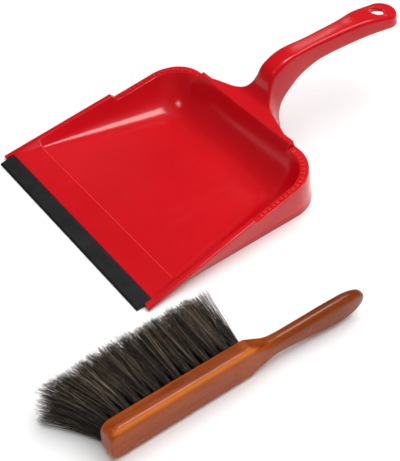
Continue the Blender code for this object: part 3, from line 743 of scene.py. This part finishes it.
# --- Rubber lip ---
def lip_solid():
    """The wedge of rubber with its slot, a thin rounded nose and rounded ends."""
    slot_y = TONGUE_TIP_Y - GAP
    slot_top = LIP_HEIGHT - LIP_SLOPE * (LIP_DEPTH - TONGUE_TIP_Y) - LIP_LEAF
    edge = 0.3 * MM
    profile = [(0.0, 0.2 * MM), (0.2 * MM, 0.0), (LIP_DEPTH, 0.0), (LIP_DEPTH, LIP_LEAF),
               (slot_y, LIP_LEAF), (slot_y, slot_top), (LIP_DEPTH, LIP_HEIGHT - LIP_LEAF),
               (LIP_DEPTH, LIP_HEIGHT - edge), (LIP_DEPTH - edge / 3, LIP_HEIGHT - edge / 3),
               (LIP_DEPTH - edge, LIP_HEIGHT - edge * LIP_SLOPE)]
    for share in (0.75, 0.5, 0.25):
        y = mix(LIP_ROUND, LIP_DEPTH, share)
        profile.append((y, LIP_NOSE + LIP_SLOPE * y - LIP_SAG * math.sin(math.pi * share)))
    nose_z = LIP_NOSE + LIP_SLOPE * LIP_ROUND
    profile += [(LIP_ROUND * (1 - math.sin(a)), nose_z - LIP_ROUND * (1 - math.cos(a)))
                for a in (math.pi / 2 * i / 5 for i in range(6))]
    half, inner = LIP_WIDTH / 2, LIP_WIDTH / 2 - LIP_END
    xs = [-half, -half + LIP_END * 0.3] + [mix(-inner, inner, i / LIP_SPANS) for i in range(LIP_SPANS + 1)]
    xs += [half - LIP_END * 0.3, half]
    rings = []
    for x in xs:
        squeeze = LIP_END * max(0.0, 1 - math.sqrt(clamp((half - abs(x)) / LIP_END))) * 0.6
        rings.append([Vector((x, mix(y, LIP_DEPTH / 2, squeeze / LIP_DEPTH * 2),
                              mix(z, LIP_HEIGHT / 2, squeeze / LIP_HEIGHT))) for y, z in profile])
    return loft(rings)


# --- Brush block ---
def rounded_section(y, half_width, low_z, high_z, low_edge, high_edge):
    corners = [(half_width - low_edge, low_z + low_edge, low_edge, -90),
               (half_width - high_edge, high_z - high_edge, high_edge, 0),
               (high_edge - half_width, high_z - high_edge, high_edge, 90),
               (low_edge - half_width, low_z + low_edge, low_edge, 180)]
    ring = []
    for x, z, radius, start in corners:
        for step in range(SECTION_STEPS + 1):
            angle = math.radians(start + 90 * step / SECTION_STEPS)
            ring.append(Vector((x + radius * math.cos(angle), y, z + radius * math.sin(angle))))
    return ring


def block_rings():
    """The block from its toe, round in plan and with softened edges, to where the neck starts."""
    half, toe = BLOCK_WIDTH / 2, BLOCK_TOE
    rings = []
    for step in range(TOE_STEPS + 1):
        angle = math.pi / 2 * step / TOE_STEPS
        y = toe * (1 - math.cos(angle))
        width = half - toe * (1 - math.sin(angle))
        soft = 1 - clamp((y + 0.6 * MM) / (2.4 * MM)) ** 0.5
        rings.append(rounded_section(y, width - soft * 0.8 * MM, soft * 0.6 * MM,
                                     BLOCK_THICK - soft * 2.0 * MM, BLOCK_FACE_EDGE, BLOCK_BACK_EDGE))
    for i in range(1, BLOCK_SPANS + 1):
        y = mix(toe, BLOCK_LENGTH, i / BLOCK_SPANS)
        rings.append(rounded_section(y, half, 0.0, BLOCK_THICK, BLOCK_FACE_EDGE, BLOCK_BACK_EDGE))
    return rings


def grip_rings():
    """Neck and paddle: place along the grip, half-width, lower and upper face, edge rounding."""
    low, high = GRIP_LIFT - GRIP_DROP, GRIP_LIFT - GRIP_DROP + GRIP_THICK
    full = GRIP_THICK / 2 * GRIP_ROUNDING
    half, neck, paddle = BLOCK_WIDTH / 2, NECK_WIDTH / 2, PADDLE_WIDTH / 2
    lift = GRIP_LIFT
    rows = [(0.0, half, 0.0, BLOCK_THICK, BLOCK_FACE_EDGE, BLOCK_BACK_EDGE),
            (0.07, mix(half, neck, 0.42), 0.6 * MM, BLOCK_THICK - 0.4 * MM, 3.2 * MM, 5.0 * MM),
            (0.16, mix(half, neck, 0.9), low, high + 0.6 * MM, full * 0.8, full * 0.9),
            (0.25, neck, low + lift * 0.1, high + lift * 0.1, full, full),
            (0.45, mix(neck, paddle, 0.3), low + lift * 0.4, high + lift * 0.4, full, full),
            (0.65, mix(neck, paddle, 0.85), low + lift * 0.8, high + lift * 0.8, full, full),
            (0.76, paddle, low + lift, high + lift, full, full)]
    rings = []
    for share, width, z0, z1, edge0, edge1 in smooth_curve(rows, GRIP_SPAN_STEPS)[1:]:
        rings.append(rounded_section(BLOCK_LENGTH + GRIP_LENGTH * share, width, z0, z1, edge0, edge1))
    end_y, round_run = BLOCK_LENGTH + GRIP_LENGTH, GRIP_LENGTH * PADDLE_END
    middle = (low + high) / 2 + lift
    for step in range(1, PADDLE_STEPS + 1):
        angle = PADDLE_TURN * step / PADDLE_STEPS
        shrink = math.cos(angle) ** PADDLE_FULLNESS
        thick = GRIP_THICK / 2 * mix(PADDLE_THICK, 1.0, shrink)
        edge = min(thick, paddle * shrink) * GRIP_ROUNDING
        rings.append(rounded_section(end_y - round_run * (1 - math.sin(angle)), paddle * shrink,
                                     middle - thick, middle + thick, edge, edge))
    return rings


BRUSH_PLACE = (Matrix.Translation((BLOCK_LOW.x, BLOCK_LOW.y, BLOCK_WIDTH / 2))
               @ Matrix.Rotation(math.pi / 2, 4, 'Y'))
TUFT_HOLE = TUFT_RADIUS + GAP + TUFT_PLAY
ROW_PITCH = (BLOCK_WIDTH - 2 * (TUFT_MARGIN + TUFT_HOLE)) / (TUFT_ROWS - 1)
FIRST_TUFT_Y = BLOCK_TOE - TUFT_MARGIN
COLUMN_PITCH = (BLOCK_LENGTH - FIRST_TUFT_Y - TUFT_HOLE - TUFT_MARGIN) / (TUFT_COLUMNS - 1)


def tuft_places(row):
    for column in range(TUFT_COLUMNS):
        yield (row - (TUFT_ROWS - 1) / 2) * ROW_PITCH, FIRST_TUFT_Y + column * COLUMN_PITCH


def build_block():
    block = make_piece("brush_block_visual", loft(block_rings() + grip_rings()), BRUSH_PLACE)
    levels = [(-FAR / 10, TUFT_HOLE + COUNTERSINK), (0.02 * MM, TUFT_HOLE + 0.3 * MM),
              (COUNTERSINK, TUFT_HOLE), (TUFT_SEAT + GAP, TUFT_HOLE)]
    drills = [round_bar(x, y, levels, TUFT_HOLE_SIDES)
              for row in range(TUFT_ROWS) for x, y in tuft_places(row)]
    cut(block, make_piece("drills", join(drills), BRUSH_PLACE))
    shade(block.data, 40)
    return block


# --- Bristles ---
def length_fan(y):
    """How far a bristle leans towards the toe or the heel, by where it stands."""
    turn = BLOCK_LENGTH * FAN_TURN
    toe = -TOE_FAN * np.clip((turn - y) / turn, 0.0, None) ** TOE_CURL
    heel = HEEL_FAN * np.clip((y - turn) / (BLOCK_LENGTH - turn), 0.0, None) ** HEEL_CURL
    return np.where(y < turn, toe, heel)


def strand_lines(rng, x, y):
    """Centre lines of one tuft's bristles, in the brush's own place: strand, step, xyz."""
    count, clumps = STRANDS_PER_TUFT, CLUMPS_PER_TUFT
    turn, spread = rng.uniform(0, 2 * math.pi, count), np.sqrt(rng.uniform(0, 1, count))
    clump = rng.integers(0, clumps, count)
    clump_x, clump_y = rng.uniform(-1, 1, clumps), rng.uniform(-1, 1, clumps)
    root_x, root_y = spread * np.cos(turn), spread * np.sin(turn)
    stray = np.where(rng.uniform(0, 1, count) < STRAY_SHARE, STRAY_REACH, 1.0)
    tip_x = root_x * ROOT_PULL + clump_x[clump] * CLUMP_PULL + rng.normal(0, TIP_JITTER[0], count) * stray
    tip_y = root_y * ROOT_PULL + clump_y[clump] * CLUMP_PULL + rng.normal(0, TIP_JITTER[1], count) * stray
    shorter = np.abs(rng.normal(0, SHORTENING, count))
    length = TUFT_LENGTH * (1.0 - shorter - CLUMP_SHORTENING * rng.uniform(0, 1, clumps)[clump])
    wave = rng.normal(0, WAVE, (2, count)) * stray
    phase = rng.uniform(0, 2 * math.pi, (2, count))
    root_reach = TUFT_RADIUS * ROOT_FILL
    lines = np.zeros((count, STRAND_STEPS + 1, 3))
    for step in range(STRAND_STEPS + 1):
        share = step / STRAND_STEPS
        run = length * share
        open_out = share ** OPENING
        side_x = x + mix(root_x * root_reach, tip_x * ROW_PITCH / 2 * TIP_SPREAD[0], open_out)
        side_y = y + mix(root_y * root_reach, tip_y * COLUMN_PITCH / 2 * TIP_SPREAD[1], open_out)
        width_share = side_x / (BLOCK_WIDTH / 2)
        across = np.where(width_share > 0, DOWN_FAN * width_share, UP_FAN * width_share)
        along = length_fan(side_y) * (1 + FLOOR_SPREAD * width_share) * (0.75 + 0.25 * share)
        sway = np.sin(phase + share * SWAY) * wave * share
        lines[:, step, 0] = side_x + run * np.sin(across) + sway[0]
        lines[:, step, 1] = side_y + run * np.sin(along) + sway[1]
        lines[:, step, 2] = -run * np.cos(along)
    lines[:, 0, 2] = TUFT_SEAT * 0.6  # the roots start inside their hole
    return lines


def strand_mesh(name, lines, radii, kinds, materials):
    """Tapered tubes round centre lines that are already in the frame's place."""
    count, steps, sides = len(lines), lines.shape[1], STRAND_SIDES
    along = np.gradient(lines, axis=1)
    along /= np.linalg.norm(along, axis=2, keepdims=True)
    first = np.cross(along, np.array([0.0, 0.0, 1.0]))
    first /= np.linalg.norm(first, axis=2, keepdims=True)
    second = np.cross(along, first)
    taper = 1 - 0.5 * (np.arange(steps) / (steps - 1)) ** 2
    width = radii[:, None] * taper[None, :]
    points = np.zeros((count, steps, sides, 3))
    for side in range(sides):
        angle = 2 * math.pi * side / sides
        ray = first * math.cos(angle) + second * math.sin(angle)
        points[:, :, side] = lines + width[..., None] * ray
    points[..., 2] = np.maximum(points[..., 2], 0.03 * MM)
    points[..., 1] = np.maximum(points[..., 1], cad_bounds[0][1] + 0.05 * MM)
    _, pattern = loft(points[0])
    faces = [tuple(strand * steps * sides + i for i in face) for strand in range(count) for face in pattern]
    mesh = bpy.data.meshes.new(name)
    mesh.from_pydata(points.reshape(-1, 3).tolist(), [], faces)
    for material in materials:
        mesh.materials.append(material)
    mesh.polygons.foreach_set("material_index", np.repeat(kinds, len(pattern)).astype(np.int32))
    mesh.update()
    mesh.shade_smooth()
    return add_object(name, mesh)


def build_bristles(row, materials):
    rng = np.random.default_rng(SEED + row)
    place = np.array(BRUSH_PLACE)
    lines = np.concatenate([strand_lines(rng, x, y) for x, y in tuft_places(row)])
    lines = lines @ place[:3, :3].T + place[:3, 3]
    count = len(lines)
    kinds = rng.choice(len(materials), count, p=HAIR_SHARES)
    radii = STRAND_RADIUS * rng.uniform(0.8, 1.25, count) * np.where(kinds == 2, COARSE_HAIR, 1.0)
    return strand_mesh(f"bristles_row_{row + 1}", lines, radii, kinds, materials)


# --- Materials ---
class Finish:
    """A Principled material with short ways to add the nodes that it needs."""

    def __init__(self, name, roughness, **constants):
        self.material = bpy.data.materials.new(name)
        self.material.use_nodes = True
        self.nodes, self.links = self.material.node_tree.nodes, self.material.node_tree.links
        self.shader = self.nodes["Principled BSDF"]
        self.shader.inputs["Roughness"].default_value = roughness
        for socket, value in constants.items():
            self.shader.inputs[socket.replace("_", " ")].default_value = value
        self.place = self.nodes.new("ShaderNodeTexCoord").outputs["Object"]

    def node(self, kind, constants, sources):
        """A node with constants on some of its inputs and links into others."""
        node = self.nodes.new("ShaderNode" + kind)
        for socket, value in constants.items():
            node.inputs[socket].default_value = value
        for socket, source in sources.items():
            self.links.new(source, node.inputs[socket])
        return node

    def noise(self, scale, detail=4.0, stretch=(1, 1, 1), roughness=0.5):
        mapping = self.node("Mapping", {"Scale": stretch}, {"Vector": self.place})
        return self.node("TexNoise", {"Scale": scale, "Detail": detail, "Roughness": roughness},
                         {"Vector": mapping.outputs["Vector"]}).outputs["Fac"]

    def ramp(self, value, *stops):
        """Stops are (place, colour or grey level)."""
        node = self.nodes.new("ShaderNodeValToRGB")
        elements = node.color_ramp.elements
        while len(elements) < len(stops):
            elements.new(0.5)
        for element, (place, colour) in zip(elements, stops):
            element.position = place
            element.color = (*(colour if isinstance(colour, tuple) else (colour,) * 3), 1.0)
        self.links.new(value, node.inputs["Fac"])
        return node.outputs["Color"]

    def span(self, value, low, high, to_low=0.0, to_high=1.0):
        limits = {"From Min": low, "From Max": high, "To Min": to_low, "To Max": to_high}
        return self.node("MapRange", limits, {"Value": value}).outputs["Result"]

    def blend(self, share, a, b):
        """a and b are colours or outputs."""
        node = self.nodes.new("ShaderNodeMix")
        node.data_type = 'RGBA'
        sockets = [s for s in node.inputs if s.type == 'RGBA']
        for socket, source in zip(sockets, (a, b)):
            if isinstance(source, tuple):
                socket.default_value = (*source, 1.0)
            else:
                self.links.new(source, socket)
        if isinstance(share, float):
            node.inputs["Factor"].default_value = share
        else:
            self.links.new(share, node.inputs["Factor"])
        return [s for s in node.outputs if s.type == 'RGBA'][0]

    def product(self, a, b):
        node = self.node("Math", {}, {0: a, 1: b})
        node.operation = 'MULTIPLY'
        return node.outputs["Value"]

    def axis(self, name):
        return self.node("SeparateXYZ", {}, {"Vector": self.place}).outputs[name]

    def edges(self, low, high):
        """1 on convex edges, 0 on flats."""
        return self.span(self.nodes.new("ShaderNodeNewGeometry").outputs["Pointiness"], low, high)

    def bump(self, *layers):
        """Layers of (height, strength, distance), one on the other."""
        normal = None
        for height, strength, distance in layers:
            node = self.node("Bump", {"Strength": strength, "Distance": distance}, {"Height": height})
            if normal:
                self.links.new(normal, node.inputs["Normal"])
            normal = node.outputs["Normal"]
        self.links.new(normal, self.shader.inputs["Normal"])

    def set(self, socket, source):
        self.links.new(source, self.shader.inputs[socket])


def ridge_highlight_and_shade_band(finish, y, strength):
    """A soft line across the tray's floor beside the ridge's crest: the mask for both a painted highlight
    on the crest and a painted shade behind its step.
    """
    reach = 0.9 * MM
    line = finish.product(finish.span(finish.axis("Y"), y - reach, y, 0.0, strength),
                          finish.span(finish.axis("Y"), y + reach, y, 0.0, 1.0))
    return finish.product(line, finish.span(finish.axis("Z"), RIDGE_Z + 0.6 * MM, RIDGE_Z + 0.2 * MM))


def red_plastic():
    """Glossy moulded red with flow marks and scuffs, a painted highlight on its edges (most on the
    right-hand side) and a painted highlight and shade line at the ridge.
    """
    finish = Finish("red_gloss_plastic", 0.2, IOR=1.45, Specular_IOR_Level=0.34, Coat_Weight=0.06,
                    Coat_Roughness=0.05)
    flow = finish.ramp(finish.noise(9, 3), (0.3, (0.50, 0.001, 0.005)), (0.7, (0.58, 0.002, 0.008)))
    # Painted highlight: lighter colour on convex edges above the floor, weaker towards the left-hand side.
    above_floor = finish.span(finish.axis("Z"), RIDGE_Z, RIDGE_Z + 2 * MM)
    edges = finish.product(finish.edges(0.515, 0.60), above_floor)
    edges = finish.product(edges, finish.span(finish.axis("X"), -0.03, 0.03, 0.35, 1.0))
    colour = finish.blend(edges, flow, (0.85, 0.035, 0.022))
    crest = PAN_Y + RIDGE_Y
    # Painted highlight: a light line on the ridge's crest. Painted shade: a dark line just behind its step.
    colour = finish.blend(ridge_highlight_and_shade_band(finish, crest - 0.5 * MM, 0.65), colour, (0.80, 0.040, 0.045))
    colour = finish.blend(ridge_highlight_and_shade_band(finish, crest + 1.2 * MM, 0.5), colour, (0.26, 0.0, 0.003))
    finish.set("Base Color", colour)
    scuffs = finish.ramp(finish.noise(160, 6, (1, 0.12, 1)), (0.55, 0.0), (0.75, 1.0))
    rough = finish.blend(0.5, finish.ramp(finish.noise(28, 5), (0.35, 0.15), (0.7, 0.23)),
                         finish.ramp(scuffs, (0.0, 0.15), (1.0, 0.30)))
    finish.set("Roughness", rough)
    finish.bump((finish.noise(16, 2), 0.35, 0.0012), (finish.noise(700, 3), 0.05, 0.0002))
    return finish.material


def lip_rubber():
    """Matt black rubber with a fine grain and patches of grey wear, and painted shade along the nose."""
    finish = Finish("black_rubber", 0.55, Specular_IOR_Level=0.22)
    grain = finish.ramp(finish.noise(900, 3), (0.35, (0.007, 0.007, 0.008)), (0.7, (0.014, 0.014, 0.016)))
    worn = finish.span(finish.noise(60, 5), 0.45, 0.75, 0.0, 0.3)
    wear = finish.blend(worn, grain, (0.024, 0.023, 0.022))
    # Painted shade: near-black along the nose's front face.
    nose = finish.span(finish.axis("Y"), PAN_Y + 2.4 * MM, PAN_Y + 1.0 * MM)
    finish.set("Base Color", finish.blend(nose, wear, (0.001, 0.001, 0.001)))
    finish.set("Roughness", finish.ramp(finish.noise(120, 4), (0.3, 0.42), (0.75, 0.66)))
    finish.bump((finish.noise(1400, 2), 0.25, 0.0002), (finish.noise(90, 3), 0.15, 0.0004))
    return finish.material


def lacquered_wood():
    """Stained and lacquered hardwood: long grain along Y, darker towards the paddle, amber edges that are
    partly thin stain and partly a painted highlight.

    The widest amber band runs along the block's upper back edge: stain rubbed thin there, and a painted
    highlight on the rounded edge.
    """
    finish = Finish("lacquered_wood", 0.24, Coat_Weight=0.08, Coat_Roughness=0.05, Specular_IOR_Level=0.15)
    long_grain = finish.noise(70, 7, (1, 0.06, 1), 0.62)
    pores = finish.noise(420, 4, (1, 0.04, 1), 0.6)
    clouds = finish.noise(26, 3, (1, 0.5, 1))
    base = finish.ramp(long_grain, (0.25, (0.10, 0.014, 0.001)), (0.5, (0.36, 0.060, 0.001)),
                       (0.75, (0.45, 0.082, 0.002)))
    base = finish.blend(finish.span(clouds, 0.35, 0.7, 0.0, 0.45), base, (0.22, 0.034, 0.006))
    base = finish.blend(finish.span(pores, 0.56, 0.7, 0.0, 0.5), base, (0.06, 0.012, 0.004))
    base = finish.blend(finish.span(finish.axis("Y"), 0.02, 0.075, 0.0, 0.35), base, (0.075, 0.014, 0.003))
    # Amber band on the upper back edge: stain rubbed thin, and a painted highlight.
    back, top = BLOCK_LOW.x + BLOCK_THICK, BLOCK_WIDTH
    start, full = 4.0 * MM, 1.6 * MM
    band = finish.product(finish.span(finish.axis("X"), back - start, back - full),
                          finish.span(finish.axis("Z"), top - start, top - full))
    base = finish.blend(band, base, (0.62, 0.16, 0.018))
    # Amber on all convex edges: partly thin stain, partly a painted highlight.
    base = finish.blend(finish.edges(0.515, 0.56), base, (0.62, 0.15, 0.016))
    finish.set("Base Color", base)
    finish.set("Roughness", finish.ramp(finish.noise(50, 5), (0.3, 0.18), (0.75, 0.32)))
    finish.bump((pores, 0.12, 0.0002), (finish.noise(18, 2), 0.25, 0.0010))
    return finish.material


def horsehair(name, dark, light, roughness):
    """One shade of hair, streaked along its length, with painted shade darkening it towards the root where
    the strands crowd.
    """
    finish = Finish(name, roughness, Specular_IOR_Level=0.4)
    streak = finish.ramp(finish.noise(500, 4, (0.08, 1, 1)), (0.3, dark), (0.7, light))
    # Painted shade: darker towards the roots, where the strands crowd near the block.
    root = finish.span(finish.axis("X"), BLOCK_LOW.x - 4 * MM, BLOCK_LOW.x - 26 * MM, 0.75, 0.0)
    finish.set("Base Color", finish.blend(root, streak, tuple(0.25 * c for c in dark)))
    finish.set("Roughness", finish.ramp(finish.noise(300, 3), (0.3, roughness - 0.1),
                                        (0.7, roughness + 0.1)))
    return finish.material


def hair_materials():
    return [horsehair("horsehair_black", (0.006, 0.004, 0.003), (0.022, 0.015, 0.010), 0.5),
            horsehair("horsehair_brown", (0.026, 0.016, 0.009), (0.078, 0.047, 0.024), 0.45),
            horsehair("horsehair_grey", (0.13, 0.092, 0.058), (0.36, 0.27, 0.18), 0.4)]


# --- Stage ---
def build_floor():
    half, thick = 5.0, 0.05
    corners = [(-half, -half), (half, -half), (half, half), (-half, half)]
    rings = [[Vector((x, y, z)) for x, y in corners] for z in (-thick, -0.2 * MM)]
    floor = make_piece("studio_floor", loft(rings))
    finish = Finish("studio_floor", 0.9, Specular_IOR_Level=0.1)
    finish.set("Base Color", finish.ramp(finish.noise(3, 2), (0.2, 0.93), (0.8, 0.96)))
    floor.data.materials.append(finish.material)


def area_light(name, direction, distance, size, power, soft=False, aim=(0.05, 0.1, 0.03)):
    """A soft light lights the pieces and isn't seen in them. The others only show as reflections."""
    light = bpy.data.lights.new(name, 'AREA')
    light.shape = 'RECTANGLE'
    light.size, light.size_y = size
    light.energy = power
    item = add_object(name, light)
    item.location = Vector(aim) + Vector(direction).normalized() * distance
    item.rotation_euler = (item.location - Vector(aim)).to_track_quat('Z', 'Y').to_euler()
    item.visible_glossy = not soft
    item.visible_diffuse = soft


def build_light():
    world = bpy.data.worlds.new("studio")
    world.use_nodes = True
    background = world.node_tree.nodes["Background"]
    background.inputs["Color"].default_value = (1.0, 1.0, 1.0, 1.0)
    background.inputs["Strength"].default_value = 0.15
    bpy.context.scene.world = world
    area_light("key", (0.05, 0.25, 0.97), 1.6, (2.2, 2.2), 45, soft=True)
    area_light("front", (0.62, -0.62, 0.48), 1.7, (1.5, 1.1), 5, soft=True)
    area_light("crease_shine", (0.05, 0.25, 0.97), 1.4, (0.60, 0.60), 15)
    area_light("tray_shine", (-0.73, 0.32, 0.60), 2.0, (0.50, 0.45), 0.14, aim=(-0.05, 0.08, 0.0))
    area_light("corner_shine", (-0.15, -0.62, 0.77), 1.7, (0.30, 0.30), 3.5)
    area_light("handle_shine", (-0.600, 0.527, 0.601), 1.2, (0.12, 0.10), 0.17, aim=(0.0, 0.280, 0.09))
    area_light("edge_shine", (0.0, 0.586, 0.812), 1.2, (0.7, 0.4), 4, aim=(0.0, 0.33, 0.09))


def build_camera():
    back = Vector((math.sin(VIEW_AZIMUTH) * math.cos(VIEW_ELEVATION),
                   -math.cos(VIEW_AZIMUTH) * math.cos(VIEW_ELEVATION), math.sin(VIEW_ELEVATION)))
    data = bpy.data.cameras.new("camera")
    data.lens = VIEW_LENS
    data.clip_start, data.clip_end = 0.01, 20
    camera = add_object("camera", data)
    camera.location = VIEW_TARGET + back * VIEW_DISTANCE
    camera.rotation_euler = back.to_track_quat('Z', 'Y').to_euler()
    bpy.context.scene.camera = camera


# --- The whole ---
def build():
    build_camera()
    build_light()
    build_floor()
    pan = build_pan()
    pan.data.materials.append(red_plastic())
    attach(pan, "pan")
    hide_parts("dustpan")
    lip = make_piece("rubber_lip_visual", lip_solid(), Matrix.Translation((0, PAN_Y, 0)), 50)
    lip.data.materials.append(lip_rubber())
    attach(lip, "pan")
    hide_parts("rubber_lip")
    block = build_block()
    block.data.materials.append(lacquered_wood())
    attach(block, "brush")
    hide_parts("brush_block")
    hair = hair_materials()
    for row in range(TUFT_ROWS):
        bristles = build_bristles(row, hair)
        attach(bristles, "brush")
        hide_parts(*[f"tuft_r{row + 1}_c{column + 1:02d}" for column in range(TUFT_COLUMNS)])


build()
bpy.context.scene.view_settings.view_transform = 'Standard'
